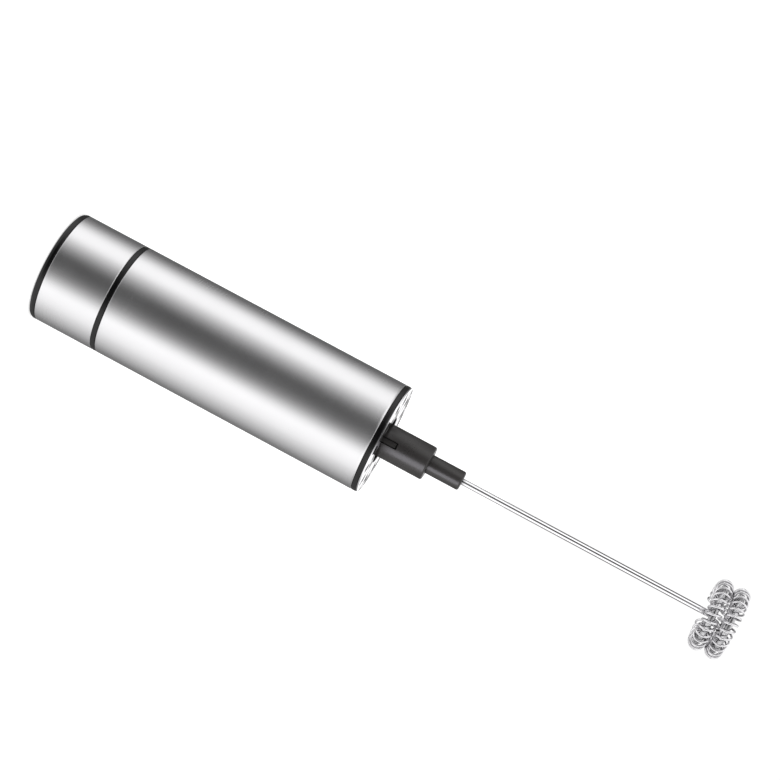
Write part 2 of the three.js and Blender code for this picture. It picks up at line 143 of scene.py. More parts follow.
def join(a, b, how):
    """Boolean of two meshes: how is DIFFERENCE, UNION or INTERSECT."""
    oa, ob = bpy.data.objects.new("a", a), bpy.data.objects.new("b", b)
    for o in (oa, ob):
        bpy.context.scene.collection.objects.link(o)
    m = oa.modifiers.new("cut", "BOOLEAN")
    m.operation, m.solver, m.object = how, "EXACT", ob
    made = bpy.data.meshes.new_from_object(oa.evaluated_get(bpy.context.evaluated_depsgraph_get()))
    bpy.data.objects.remove(oa)
    bpy.data.objects.remove(ob)
    bm = bmesh.new()
    bm.from_mesh(made)
    bmesh.ops.remove_doubles(bm, verts=bm.verts, dist=2e-7)
    bmesh.ops.dissolve_degenerate(bm, edges=bm.edges, dist=2e-7)
    bm.to_mesh(made)
    bm.free()
    return made


def cut(a, *bs):
    for b in bs:
        a = join(a, b, "DIFFERENCE")
    return a


def add(a, *bs):
    for b in bs:
        a = join(a, b, "UNION")
    return a


def edges_off(mesh, width, angle=35, segments=3):
    """The mesh with its sharp edges rounded by width."""
    o = bpy.data.objects.new("bevel", mesh)
    bpy.context.scene.collection.objects.link(o)
    m = o.modifiers.new("edges", "BEVEL")
    m.width, m.segments, m.limit_method, m.angle_limit = width * M, segments, "ANGLE", math.radians(angle)
    m.use_clamp_overlap, m.miter_outer = True, "MITER_ARC"
    made = bpy.data.meshes.new_from_object(o.evaluated_get(bpy.context.evaluated_depsgraph_get()))
    bpy.data.objects.remove(o)
    return made


def sweep(points, radius, sides=12, cap=True):
    """A wire of round section along points, with a frame that never twists and domed ends."""
    pts = [Vector(p) for p in points]
    tangents = []
    for i in range(len(pts)):
        t = (pts[min(i + 1, len(pts) - 1)] - pts[max(i - 1, 0)]).normalized()
        tangents.append(t)
    up = Vector((0, 0, 1)) if abs(tangents[0].z) < 0.9 else Vector((0, 1, 0))
    u = (up - tangents[0] * up.dot(tangents[0])).normalized()
    rings, verts, faces = [], [], []

    def ring(centre, u, v, r):
        rings.append(list(range(len(verts), len(verts) + sides)))
        for k in range(sides):
            a = 2 * math.pi * k / sides
            verts.append(tuple(centre + (u * math.cos(a) + v * math.sin(a)) * r))

    for i, (p, t) in enumerate(zip(pts, tangents)):
        u = (u - t * u.dot(t)).normalized()
        v = t.cross(u)
        if i == 0 and cap:
            for k in (2, 1):
                w = math.radians(90 - 30 * (3 - k))
                ring(p - t * (radius * 0.45 * math.sin(w)) + t * radius * 0.45 * 0, u, v, radius * math.cos(w))
        ring(p, u, v, radius)
        if i == len(pts) - 1 and cap:
            for k in (1, 2):
                w = math.radians(30 * k)
                ring(p + t * (radius * 0.45 * math.sin(w)), u, v, radius * math.cos(w))
    for a, b in zip(rings, rings[1:]):
        for k in range(sides):
            m = (k + 1) % sides
            faces.append((a[k], a[m], b[m], b[k]))
    faces.append(tuple(rings[0][::-1]))
    faces.append(tuple(rings[-1]))
    return mesh_of(verts, faces)


def piece(name, mesh, body, stands_for, material, sharp=32):
    """A finished piece: smooth shading split at real edges, riding on its body in place of its CAD node."""
    mesh.name = name
    for p in mesh.polygons:
        p.use_smooth = True
    mesh.set_sharp_from_angle(angle=math.radians(sharp))
    mesh.materials.clear()
    mesh.materials.append(material)
    o = bpy.data.objects.new(name, mesh)
    bpy.context.scene.collection.objects.link(o)
    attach(o, body)
    if stands_for:
        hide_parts(*([stands_for] if isinstance(stands_for, str) else stands_for))
    return o


# ---- materials -------------------------------------------------------------------------------------
class Mat:
    """A Principled material and short ways to wire its detail."""

    def __init__(self, name, **sockets):
        self.mat = bpy.data.materials.new(name)
        self.mat.use_nodes = True
        self.tree = self.mat.node_tree
        self.tree.nodes.clear()
        self.out = self.tree.nodes.new("ShaderNodeOutputMaterial")
        self.bsdf = self.tree.nodes.new("ShaderNodeBsdfPrincipled")
        self.tree.links.new(self.bsdf.outputs["BSDF"], self.out.inputs["Surface"])
        for k, v in sockets.items():
            self.bsdf.inputs[k.replace("_", " ")].default_value = v
        self.coord = self.tree.nodes.new("ShaderNodeTexCoord").outputs["Object"]

    def node(self, kind, **values):
        n = self.tree.nodes.new("ShaderNode" + kind)
        for k, v in values.items():
            if k in n.inputs.keys():
                self.put(n.inputs[k], v)
            else:
                setattr(n, k, v)
        return n

    def put(self, socket, v):
        if isinstance(v, bpy.types.NodeSocket):
            self.tree.links.new(v, socket)
        else:
            socket.default_value = v

    def math(self, op, a, b=0.5, c=0.5, clamp=False):
        n = self.tree.nodes.new("ShaderNodeMath")
        n.operation, n.use_clamp = op, clamp
        for s, v in zip(n.inputs, (a, b, c)):
            self.put(s, v)
        return n.outputs[0]

    def stretched(self, sx, sy, sz):
        """Object coordinates in millimetres times sx, sy, sz."""
        n = self.tree.nodes.new("ShaderNodeVectorMath")
        n.operation = "MULTIPLY"
        self.put(n.inputs[0], self.coord)
        n.inputs[1].default_value = (sx * 1000, sy * 1000, sz * 1000)
        return n.outputs[0]

    def noise(self, vector, scale=1.0, detail=3.0, rough=0.55, distortion=0.0):
        n = self.node("TexNoise", Vector=vector, Scale=scale, Detail=detail, Roughness=rough, Distortion=distortion)
        return n.outputs["Fac"]

    def remap(self, v, lo, hi, a=0.0, b=1.0):
        n = self.node("MapRange")
        n.clamp = True
        for s, x in zip(n.inputs[:5], (v, lo, hi, a, b)):
            self.put(s, x)
        return n.outputs[0]

    def blend(self, fac, a, b):
        n = self.tree.nodes.new("ShaderNodeMix")
        n.data_type = "RGBA"
        self.put(n.inputs[0], fac)
        self.put(n.inputs[6], a)
        self.put(n.inputs[7], b)
        return n.outputs[2]

    def colour(self, v):
        self.put(self.bsdf.inputs["Base Color"], v)

    def rough(self, v):
        self.put(self.bsdf.inputs["Roughness"], v)

    def bump(self, height, strength, distance_mm, under=None):
        n = self.tree.nodes.new("ShaderNodeBump")
        self.put(n.inputs["Height"], height)
        n.inputs["Strength"].default_value = strength
        n.inputs["Distance"].default_value = distance_mm * M
        if under is not None:
            self.tree.links.new(under, n.inputs["Normal"])
        self.tree.links.new(n.outputs[0], self.bsdf.inputs["Normal"])
        return n.outputs[0]


def rgb(r, g, b):
    return (r, g, b, 1.0)


def satin_steel():
    m = Mat("satin_steel", Metallic=1.0, Anisotropic=0.35, Specular_IOR_Level=0.5)
    around = m.stretched(0.05, 0.05, 9.0)  # hair lines run round the tube
    fine = m.noise(around, 1.0, 5.0, 0.7)
    broad = m.noise(m.stretched(0.03, 0.03, 0.9), 1.0, 3.0, 0.6)
    touch = m.noise(m.stretched(0.11, 0.11, 0.06), 1.0, 4.0, 0.55, 0.4)  # handling
    m.colour(m.blend(m.math("MULTIPLY_ADD", fine, 0.7, m.math("MULTIPLY", broad, 0.3)), rgb(0.782, 0.777, 0.788), rgb(0.818, 0.812, 0.823)))
    lines = m.remap(fine, 0.25, 0.75, 0.0, 0.05)
    m.rough(m.math("ADD", lines, m.remap(touch, 0.3, 0.7, 0.205, 0.24)))
    m.bump(fine, 0.07, 0.01)
    return m.mat


def polished_steel(name="polished_steel", tint=(0.90, 0.89, 0.915), rough=0.07, scale=3.0, painted_shade=None, reach=(0.4, 0.7), lift=0.0):
    """painted_shade is the painted shade colour that ambient occlusion blends in where wire lies close against wire,
    between the two values of reach. lift leans the sheen upwards.
    """
    m = Mat(name, Metallic=1.0)
    fine = m.noise(m.stretched(scale, scale, scale), 1.0, 4.0, 0.65)
    broad = m.noise(m.stretched(0.35, 0.35, 0.35), 1.0, 3.0, 0.5)
    low = tuple(c * 0.93 for c in tint)
    shade = m.blend(broad, rgb(*low), rgb(*tint))
    if painted_shade:
        # painted shade: ambient occlusion blends the base colour towards a near-black tint where wire is hemmed in by
        # wire
        open_to = m.node("AmbientOcclusion", samples=8, only_local=False)
        open_to.inputs["Distance"].default_value = 2.6 * M
        shade = m.blend(m.remap(open_to.outputs["AO"], *reach), rgb(*painted_shade), shade)
    m.colour(shade)
    m.rough(m.remap(m.math("MULTIPLY_ADD", fine, 0.6, m.math("MULTIPLY", broad, 0.4)), 0.3, 0.7, rough * 0.7, rough * 1.6))
    under = None
    if lift:
        lean = m.node("VectorMath", operation="ADD")
        m.tree.links.new(m.node("NewGeometry").outputs["Normal"], lean.inputs[0])
        lean.inputs[1].default_value = (0.0, 0.0, lift)
        unit = m.node("VectorMath", operation="NORMALIZE")
        m.tree.links.new(lean.outputs[0], unit.inputs[0])
        under = unit.outputs[0]
    m.bump(fine, 0.06, 0.01, under)
    return m.mat


def metal(name, tint, dark, rough, scale=2.0, bump=0.15, tarnish=0.5):
    m = Mat(name, Metallic=1.0)
    fine = m.noise(m.stretched(scale, scale, scale), 1.0, 5.0, 0.65)
    patch = m.remap(m.noise(m.stretched(0.4, 0.4, 0.4), 1.0, 4.0, 0.6, 0.3), 0.5 - 0.3 * tarnish, 0.85)
    m.colour(m.blend(patch, rgb(*tint), rgb(*dark)))
    m.rough(m.math("ADD", m.remap(fine, 0.3, 0.7, rough * 0.75, rough * 1.3), m.math("MULTIPLY", patch, 0.12)))
    m.bump(fine, bump, 0.02)
    return m.mat


def plastic(name, tint, light, rough, grain=6.0, bump=0.12, spec=0.5, depth=0.02, coat=0.0):
    m = Mat(name, Specular_IOR_Level=spec, Coat_Weight=coat, Coat_Roughness=0.12)
    cells = m.node("TexVoronoi", Vector=m.stretched(grain, grain, grain), Scale=1.0)
    fine = m.noise(m.stretched(grain * 0.7, grain * 0.7, grain * 0.7), 1.0, 4.0, 0.6)
    flow = m.noise(m.stretched(0.12, 0.12, 0.12), 1.0, 3.0, 0.5, 0.6)
    m.colour(m.blend(m.math("MULTIPLY_ADD", fine, 0.5, m.math("MULTIPLY", flow, 0.5)), rgb(*tint), rgb(*light)))
    m.rough(m.math("ADD", m.remap(flow, 0.3, 0.7, rough * 0.9, rough * 1.1), m.remap(fine, 0.3, 0.7, -0.03, 0.04)))
    height = m.math("MULTIPLY_ADD", cells.outputs["Distance"], 0.5, fine)
    m.bump(height, bump, depth)
    return m.mat


STEEL = satin_steel()
POLISHED = polished_steel()
# rod and spring steel carry painted shade: their base colour turns near-black where ambient occlusion finds wire close
# by
ROD = polished_steel("rod_steel", (0.93, 0.925, 0.94), 0.12, 3.5, (0.07, 0.068, 0.075), (0.45, 0.85), 0.05)
SPRING = polished_steel("spring_steel", (0.99, 0.98, 1.0), 0.09, 4.0, (0.025, 0.024, 0.03), (0.37, 0.50))
BLACK = plastic("black_gloss", (0.0010, 0.0010, 0.0011), (0.0022, 0.0022, 0.0024), 0.16, 7.0, 0.05, 0.4, 0.01)
CHARCOAL = plastic("charcoal_plastic", (0.0195, 0.0178, 0.0168), (0.0285, 0.0262, 0.0252), 0.3, 5.0, 0.16, 0.5, 0.02)
BUTTON = plastic("button_plastic", (0.017, 0.017, 0.018), (0.026, 0.026, 0.027), 0.36, 5.0, 0.3, 0.5, 0.03)
INNER = plastic("inner_plastic", (0.028, 0.030, 0.034), (0.048, 0.051, 0.056), 0.5, 3.0, 0.3, 0.5, 0.04)
WHITE = plastic("white_nylon", (0.66, 0.64, 0.58), (0.78, 0.76, 0.70), 0.4, 3.0, 0.2, 0.5, 0.03)
BRASS = metal("brass", (0.80, 0.58, 0.26), (0.50, 0.33, 0.13), 0.24)
COPPER = metal("copper", (0.86, 0.43, 0.20), (0.55, 0.22, 0.10), 0.26)
IRON = metal("motor_steel", (0.52, 0.52, 0.54), (0.34, 0.33, 0.33), 0.32, 3.0)
SCREW = metal("screw_steel", (0.62, 0.62, 0.64), (0.38, 0.37, 0.36), 0.28, 3.0)
MAGNET = plastic("magnet", (0.030, 0.030, 0.032), (0.060, 0.058, 0.058), 0.6, 8.0, 0.5, 0.4, 0.06)
SLEEVE = plastic("cell_sleeve", (0.020, 0.105, 0.062), (0.034, 0.150, 0.088), 0.24, 1.5, 0.08, 0.5, 0.03, 0.4)
CELL_STEEL = metal("cell_steel", (0.74, 0.74, 0.75), (0.52, 0.51, 0.50), 0.24, 3.0)
CELL_BAND = plastic("cell_band", (0.52, 0.42, 0.18), (0.62, 0.51, 0.24), 0.24, 1.5, 0.08, 0.5, 0.03, 0.4)
RED = plastic("lead_red", (0.42, 0.020, 0.016), (0.55, 0.036, 0.028), 0.38, 3.0, 0.15, 0.5, 0.03)
LEAD = plastic("lead_black", (0.010, 0.010, 0.011), (0.022, 0.022, 0.024), 0.4, 3.0, 0.15, 0.5, 0.03)



def striped(name, base, dark, rough, axis, pitch, depth):
    """Metal with fine parallel lines: wound wire or stacked sheets, pitch in millimetres."""
    m = Mat(name, Metallic=1.0)
    v = m.stretched(*[1 / pitch if k == axis else 0.0 for k in range(3)]) if axis is not None else m.stretched(1 / pitch, 1 / pitch, 0)
    wave = m.node("TexWave", Vector=v, Scale=0.314, Distortion=0.6, Detail=2.0)
    wave.bands_direction = "XYZ"[axis] if axis is not None else "DIAGONAL"
    fine = m.noise(m.stretched(4, 4, 4), 1.0, 4.0, 0.6)
    m.colour(m.blend(wave.outputs["Fac"], rgb(*dark), rgb(*base)))
    m.rough(m.remap(fine, 0.3, 0.7, rough * 0.8, rough * 1.3))
    m.bump(wave.outputs["Fac"], 0.5, depth)
    return m.mat


WOUND = striped("wound_copper", (0.80, 0.36, 0.15), (0.42, 0.15, 0.06), 0.3, None, 0.22, 0.06)
LAMINATED = striped("laminated_steel", (0.46, 0.46, 0.48), (0.24, 0.24, 0.25), 0.38, 2, 0.5, 0.04)

# ---- handle outside --------------------------------------------------------------------------------
R, RI, BORE = 16.0, 15.5, 15.4
piece("tube_shell", lathe([(RI, 20.9, .08), (R, 20.9, .2), (R, 21.6), (R, 99.8), (R, 100.6, .28), (RI, 100.6, .08)], 144), "handle", "body_tube", STEEL)
piece("cap_shell", lathe([(RI, 1.95, .08), (R, 1.95, .2), (R, 2.6), (R, 18.8), (R, 19.4, .2), (RI, 19.4, .08)], 144), "battery_cap", "cap_sleeve", STEEL)
piece("seam_band", lathe([(14.6, 19.5, .15), (15.98, 19.5, .14), (15.98, 20.8, .14), (BORE, 20.8, .05), (BORE, 26.1, .2), (14.6, 26.1, .2)], 144), "handle", "seam_ring", BLACK)
piece("front_band", lathe([(6.9, 98.95, .1), (BORE, 98.95, .2), (BORE, 100.7, .05), (15.99, 100.7, .12), (15.99, 102.1, .16), (14.6, 102.1, .08), (14.6, 100.6, .15), (7.9, 100.6, .15), (7.9, 102.1, .1), (6.9, 102.1, .15)], 144), "handle", "front_ring", BLACK)
piece("rear_band", lathe([(8.6, .25, .05), (8.85, 0, .1), (15, 0, .3), (15.7, .3, .5), (R, 1, .4), (15.99, 1.85, .12), (BORE, 1.85, .05), (BORE, 6, .15), (14.2, 6, .15), (14.2, 1.75, .15), (8.6, 1.75, .1)], 144), "battery_cap", "rear_end_ring", BLACK)
VENTS, VENT_R, VENT_PCR, VENT_TURN = 12, 1.2, 12.2, 15.0
plate = lathe([(6.8, 102.15), (15.9, 102.15), (15.9, 102.45), (6.8, 102.45)], 96)
for k in range(VENTS):
    a = math.radians(VENT_TURN + 360 * k / VENTS)
    plate = cut(plate, disc(VENT_R, 101, 103.5, VENT_PCR * math.cos(a), VENT_PCR * math.sin(a), 28))
face = piece("front_face", edges_off(plate, 0.06, 50, 2), "handle", "front_plate", POLISHED)
face.data.materials.append(BLACK)  # painted shade: the punched walls take the black plastic so the vents read dark
for p in face.data.polygons:
    x, y, z = (c / M for c in p.center)
    if abs(p.normal.z) < 0.5 and 7.5 < math.hypot(x, y) < 14.5:
        p.material_index = 1

# ---- whisk -----------------------------------------------------------------------------------------
hub = lathe([(3.3, 100.2, .12), (4.9, 100.2, .12), (4.9, 116.15, .6), (2.8, 116.15, .12), (2.8, 111), (3.3, 111)], 88, turn=math.pi / 88)
for s in (-1, 1):
    hub = cut(hub, block(-.95, .95, s * 2, s * 6, 99, 106.6))
hub_piece = piece("hub", hub, "whisk", "whisk_hub", CHARCOAL)
collar_piece = piece("collar", lathe([(.98, 111.1, .1), (2.75, 111.1, .3), (2.75, 126.25, .6), (.98, 126.25, .12)], 72), "whisk", "rod_collar", CHARCOAL)

ROD_R, RING_R, RING_Z1, RING_Z2 = .92, 8.01, 201.7, 206.65
U_R = (RING_Z2 - RING_Z1) / 2
U_CENTRE = 347.5 - math.degrees(U_R / RING_R)


def on_ring(deg, z, r=RING_R):
    a = math.radians(deg)
    return (-r * math.sin(a), r * math.cos(a), z)


path = [(0, 0, 112.2 + 72.8 * k / 24) for k in range(25)]
b, c = 2.2, 1.7
for k in range(0, 13):
    a = math.radians(90 * k / 12)
    path.append((0, b - b * math.cos(a), RING_Z1 - b + b * math.sin(a)))
for k in range(0, 13):
    a = math.radians(90 * k / 12)
    path.append((-(c - c * math.cos(a)), RING_R - .2 - c + c * math.sin(a), RING_Z1))
d = 18.0
while d < U_CENTRE - 1:
    path.append(on_ring(d, RING_Z1))
    d += 3
for k in range(0, 25):
    a = math.radians(180 * k / 24)
    path.append(on_ring(U_CENTRE + math.degrees(U_R * math.sin(a) / RING_R), RING_Z1 + U_R - U_R * math.cos(a)))
d = U_CENTRE - 3
while d > -18:
    path.append(on_ring(d, RING_Z2))
    d -= 3
piece("rod", sweep(path, ROD_R, 20), "whisk", "whisk_rod", ROD, 60)


def ring_coil(z, start, end, phase, per=32, sides=12):
    turns = abs(end - start) / 360 * 28
    n = round(turns * per)
    return sweep([on_ring(start + (end - start) * i / n, z - 2.13 * math.sin(2 * math.pi * i * turns / n + phase),
                          RING_R + 2.13 * math.cos(2 * math.pi * i * turns / n + phase)) for i in range(n + 1)], .29, sides)


piece("coil_rear", ring_coil(RING_Z1, 16, 338.5, math.pi), "whisk", "whisk_coil_rear", SPRING, 60)
piece("coil_front", ring_coil(RING_Z2, -3, 338.5, 0), "whisk", "whisk_coil_front", SPRING, 60)

# ---- battery cap and push button -------------------------------------------------------------------
CELL_X, POST_Y = 7.25, 10.5
plug = lathe([(0, 12.3), (BORE, 12.3), (BORE, 19.2), (14.55, 19.2), (14.55, 14.3), (0, 14.3)], 96)
plug = cut(add(plug, block(-5.6, 5.6, -5.6, 5.6, 8.8, 12.5)), block(-4.35, 4.35, -4.35, 4.35, 8, 12.15))
for s in (-1, 1):
    plug = add(plug, disc(3.6, 13.8, 31, 0, s * POST_Y, 40, .04))
    plug = cut(plug, disc(2.6, 16, 32, 0, s * POST_Y, 36, .03), disc(.9, 11, 15, s * CELL_X, 0, 24, .05),
               block(s * 3, s * 8.3, -1.1, 1.1, 11.6, 12.4))
piece("plug_moulding", edges_off(plug, .16, 40, 2), "battery_cap", "cap_plug", INNER)
piece("switch_case", edges_off(cut(block(-4.2, 4.2, -4.2, 4.2, 6.5, 11.5), block(-1.8, 1.8, -1.8, 1.8, 6, 9.9)), .25, 40, 3), "battery_cap", "switch_body", WHITE)
for i, s in ((1, 1), (2, -1)):
    t = add(block(s * 3.4, s * 8.1, -.9, .9, 11.65, 12.05), disc(.75, 11.7, 14.25, s * CELL_X, 0, 24, .05))
    piece("switch_strip_%d" % i, edges_off(t, .07, 40, 2), "battery_cap", "switch_tab_%d" % i, BRASS)
piece("cap_dome_contact", lathe([(0, 16.6), (1.4, 16.6, .3), (2.3, 14.4, .3), (4.5, 14.4, .08), (4.5, 14.8, .08), (2.6, 14.8, .3), (1.6, 17.0, .5), (0, 17.0)], 48, -CELL_X), "battery_cap", "cap_contact_plate", BRASS)


def coil_spring(x, z0, z1, r0, r1, wire, turns, per=36, sides=12):
    pts, n, flat = [], round((turns + 1.5) * per), .75 * per
    for i in range(n + 1):
        t = min(1, max(0, (i - flat) / (n - 2 * flat)))
        e = wire * 2.2 * (i / flat - 1 if i < flat else (i - (n - flat)) / flat if i > n - flat else 0)
        z = z0 + wire + wire * 2.2 + t * (z1 - z0 - wire * 6.4) + e
        r, a = r0 + (r1 - r0) * t, 2 * math.pi * i / per
        pts.append((x + r * math.cos(a), r * math.sin(a), z))
    return sweep(pts, wire, sides)


piece("cap_cone_spring", coil_spring(CELL_X, 14.4, 17.05, 4.4, 2.4, .2, 1.6), "battery_cap", "cap_contact_spring", SPRING, 60)
spring = piece("return_spring", coil_spring(0, 3.0, 6.4, 3.3, 3.3, .22, 3), "battery_cap", "button_spring", SPRING, 60)
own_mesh(spring)  # the button presses it against the switch
piece("button_dome", lathe([(0, .62), (4.6, .56, .4), (5.3, .46, .25), (5.9, .62, .2), (6.3, .66, .2), (7.4, .8, .4), (8.2, 1.3, .45), (8.2, 2.05, .05), (9.6, 2.05, .1), (9.6, 2.9, .12), (2, 2.9, .3), (2, 4.6, .15), (0, 4.6)], 96), "button", "power_button", BUTTON)
piece("plunger", edges_off(block(-1.55, 1.55, -1.55, 1.55, 4.7, 8.1), .3, 40, 4), "button", "switch_plunger", WHITE)

# ---- cells, their housing and contacts --------------------------------------------------------------
CELL = [(0, 17.2), (5.5, 17.2, .12), (5.65, 17.5, .08), (6.3, 17.3, .2), (7.1, 17.55, .45), (7.1, 65.95, .5), (6.1, 66.5, .2), (5.2, 66.45, .1),
        (5.0, 66.15, .12), (2.95, 66.15, .25), (2.7, 66.5, .1), (2.7, 67.7, .4), (0, 67.7)]
for i, s in ((1, 1), (2, -1)):
    prof = CELL if s > 0 else [(q[0], 84.9 - q[1]) + tuple(q[2:]) for q in CELL][::-1]
    o = piece("cell_%d" % i, lathe(prof, 72, s * CELL_X), "handle", "battery_%d" % i, SLEEVE)
    o.data.materials.append(CELL_STEEL)
    o.data.materials.append(CELL_BAND)
    for p in o.data.polygons:
        x, y, z = (c / M for c in p.center)
        r = math.hypot(x - s * CELL_X, y)
        top = z if s > 0 else 84.9 - z
        p.material_index = 1 if r < 5.62 else 2 if 57 < top < 64 else 0
house = lathe([(0, 26.3), (BORE, 26.3), (BORE, 71.1), (0, 71.1)], 96)
for s in (-1, 1):
    house = cut(house, disc(7.4, 25, 69.7, s * CELL_X, 0, 64, .02), disc(4, 25, 68.7, 0, s * POST_Y, 40, .03),
                disc(1.2, 67, 72, 0, s * POST_Y, 24, .05), disc(1.0, 68, 72, s * 12.6, 0, 24, .05))
piece("cell_housing", edges_off(house, .12, 40, 2), "handle", "battery_housing", INNER)
zc = 69.6
dome = lathe([(0, zc - 1.65), (1.6, zc - 1.65, .5), (2.6, zc - .4, .3), (4.5, zc - .4, .08), (4.5, zc, .08), (2.3, zc, .3), (1.4, zc - 1.25, .3), (0, zc - 1.25)], 48, CELL_X)
piece("front_dome_contact", add(dome, edges_off(block(11.2, 13.4, -1, 1, zc - .4, zc), .06, 40, 2)), "handle", "front_contact_plate", BRASS)
piece("front_cone_spring", coil_spring(-CELL_X, 67.9, 69.6, 2.4, 4.4, .2, 1.2), "handle", "front_contact_spring", SPRING, 60)


def smooth_path(points, steps=6):
    """Catmull-Rom through the points, ends kept straight."""
    pts = [Vector(q) for q in points]
    out = []
    for i in range(len(pts) - 1):
        a, b = pts[i], pts[i + 1]
        ta = (b - pts[i - 1]) / 2 if i else b - a
        tb = (pts[i + 2] - a) / 2 if i + 2 < len(pts) else b - a
        for k in range(steps):
            t = k / steps
            out.append(a * (2 * t**3 - 3 * t**2 + 1) + ta * (t**3 - 2 * t**2 + t) + b * (3 * t**2 - 2 * t**3) + tb * (t**3 - t**2))
    return out + [pts[-1]]


for name, node, s, z0, mat in (("wire_red", "lead_red", 1, 69.75, RED), ("wire_black", "lead_black", -1, 69.95, LEAD)):
    run = [(s * x, 0, z) for x, z in ((12.6, z0), (12.6, 71.4), (12.6, 72.3), (12.75, 73.2), (13.1, 73.9), (13.1, 74.7))]
    piece(name, sweep(smooth_path(run), .49, 20), "handle", node, mat, 60)
for i, y in ((1, POST_Y), (2, -POST_Y)):
    prof = [(0, 66.8), (1.6, 66.9, .3), (1.9, 67.2, .15), (1.9, 68.5, .08), (.9, 68.5, .1)]
    z = 69.2
    while z < 76.6:  # thread
        prof += [(.72, z, .03), (.95, z + .2, .03)]
        z += .42
    prof += [(.6, 77.0, .1), (0, 78)]
    screw = cut(lathe(prof, 32, 0, y, 2), block(-1.2, 1.2, y - .25, y + .25, 66, 67.6), block(-.25, .25, y - 1.2, y + 1.2, 66, 67.6))
    piece("housing_screw_%d" % i, screw, "handle", "chassis_screw_%d" % i, SCREW, 40)


# ---- motor -------------------------------------------------------------------------------------------
def can_outline(r, flat, n=96):
    pts = []
    for i in range(n):
        a = 2 * math.pi * (i + .5) / n
        pts.append((r * math.cos(a), max(-flat, min(flat, r * math.sin(a)))))
    keep = [q for i, q in enumerate(pts) if not (pts[i - 1][1] == q[1] == pts[(i + 1) % n][1])]
    return keep


can = cut(edges_off(prism(can_outline(10.05, 7.55), 75.75, 96.75), .35, 50, 3), prism(can_outline(9.35, 6.85), 74.6, 95.95))
can = cut(add(can, lathe([(0, 96.35), (3.05, 96.35), (3.05, 98.35, .2), (0, 98.35)], 48, turn=.03)), disc(1.2, 94.7, 99.3, 0, 0, 32, .02))
for a in (0, 180):
    for dy in (-3.6, 3.6):
        can = cut(can, disc(.9, 95, 98, 6.2 * math.cos(math.radians(a)), dy, 24, .05))
piece("motor_case", can, "handle", "motor_can", IRON, 35)
bell = cut(edges_off(prism(can_outline(10.05, 7.55), 71.65, 75.65), .3, 50, 3), disc(1.2, 72.65, 76.6, 0, 0, 32, .02),
           disc(6.2, 73.25, 76.6, 0, 0, 64, .02), block(-11, 11, -1.1, 1.1, 73.55, 76.65))
piece("motor_bell", bell, "handle", "motor_end_bell", WHITE, 35)
for i, s in ((1, 1), (2, -1)):
    t = add(block(s * 2.75, s * 12.4, -.9, .9, 73.95, 74.35), block(s * 2.75, s * 3.15, -.9, .9, 73.95, 76.85))
    piece("brush_strip_%d" % i, edges_off(t, .06, 40, 2), "handle", "motor_terminal_%d" % i, BRASS)
    arc = [math.radians(-38 + 76 * k / 24) for k in range(25)]
    ring = [(s * 9.2 * math.cos(a), s * 9.2 * math.sin(a)) for a in arc] + [(s * 7.3 * math.cos(a), s * 7.3 * math.sin(a)) for a in arc[::-1]]
    piece("magnet_%d" % i, edges_off(prism(ring, 79, 93.5), .2, 50, 2), "handle", "motor_magnet_%d" % i, MAGNET)
cradle = lathe([(0, 76.2), (BORE, 76.2), (BORE, 98.35), (0, 98.35)], 96)
cradle = cut(cradle, prism(can_outline(10.2, 7.7), 75, 96.9), disc(3.3, 95.75, 99.35, 0, 0, 48, .02))
for s in (-1, 1):
    cradle = cut(add(cradle, disc(2.4, 71.2, 77, 0, s * POST_Y, 40, .03)), disc(1.1, 70, 81, 0, s * POST_Y, 24, .05))
    for t in (-1, 1):
        cradle = cut(cradle, disc(1.9, 75, 96, s * 6.4, t * 10.9, 36, .03))
piece("motor_mount", edges_off(cradle, .12, 45, 2), "handle", "motor_cradle", INNER)

# ---- rotor -------------------------------------------------------------------------------------------
piece("shaft", lathe([(0, 72.95), (1, 72.95, .2), (1, 108.8, .2), (0, 108.8)], 48), "rotor", "motor_shaft", POLISHED)
pole = []
for k in range(3):
    c = 2 * math.pi * k / 3
    part_pole = [(2.2, -1.0), (5.2, -1.0), (4.9, -4.0)] + [(6.5 * math.cos(math.radians(q)), 6.5 * math.sin(math.radians(q))) for q in range(-38, 39, 4)] + [(4.9, 4.0), (5.2, 1.0), (2.2, 1.0)]
    pole += [(x * math.cos(c) - y * math.sin(c), x * math.sin(c) + y * math.cos(c)) for x, y in part_pole]
core = cut(edges_off(prism(pole, 79.8, 92.6), .08, 50, 2), disc(1.05, 79, 94, 0, 0, 32, .02))
piece("rotor_stack", core, "rotor", "rotor_core", LAMINATED)
for k in range(3):
    w = edges_off(cut(block(2.9, 4.8, -2, 2, 78.8, 93.6), block(2, 6, -1.1, 1.1, 79.7, 92.7)), .38, 50, 4)
    w.transform(Matrix.Rotation(2 * math.pi * k / 3, 4, "Z"))
    piece("winding_%d" % (k + 1), w, "rotor", "rotor_winding_%d" % (k + 1), WOUND)
comm = lathe([(1.05, 74.2, .05), (2.4, 74.2, .1), (2.4, 77.3, .08), (2.8, 77.3, .08), (2.8, 78.3, .1), (1.05, 78.3, .05)], 60, turn=.02)
for k in range(3):
    g = block(1.9, 3.2, -.12, .12, 74, 79)
    g.transform(Matrix.Rotation(2 * math.pi * (k + .5) / 3, 4, "Z"))
    comm = cut(comm, g)
piece("commutator_ring", comm, "rotor", "commutator", COPPER)
drive = lathe([(1.05, 98.95), (4.6, 98.95, .15), (4.6, 100.05, .15), (3.2, 100.05, .2), (3.2, 109.8, .1), (2.6, 110.4, .15), (1.05, 110.4)], 80, turn=.02)
for s in (-1, 1):
    drive = add(drive, edges_off(block(-.75, .75, s * 2.6, s * 4.45, 99.6, 106.25), .14, 40, 3))
piece("drive_key", drive, "rotor", "drive_coupler", CHARCOAL)

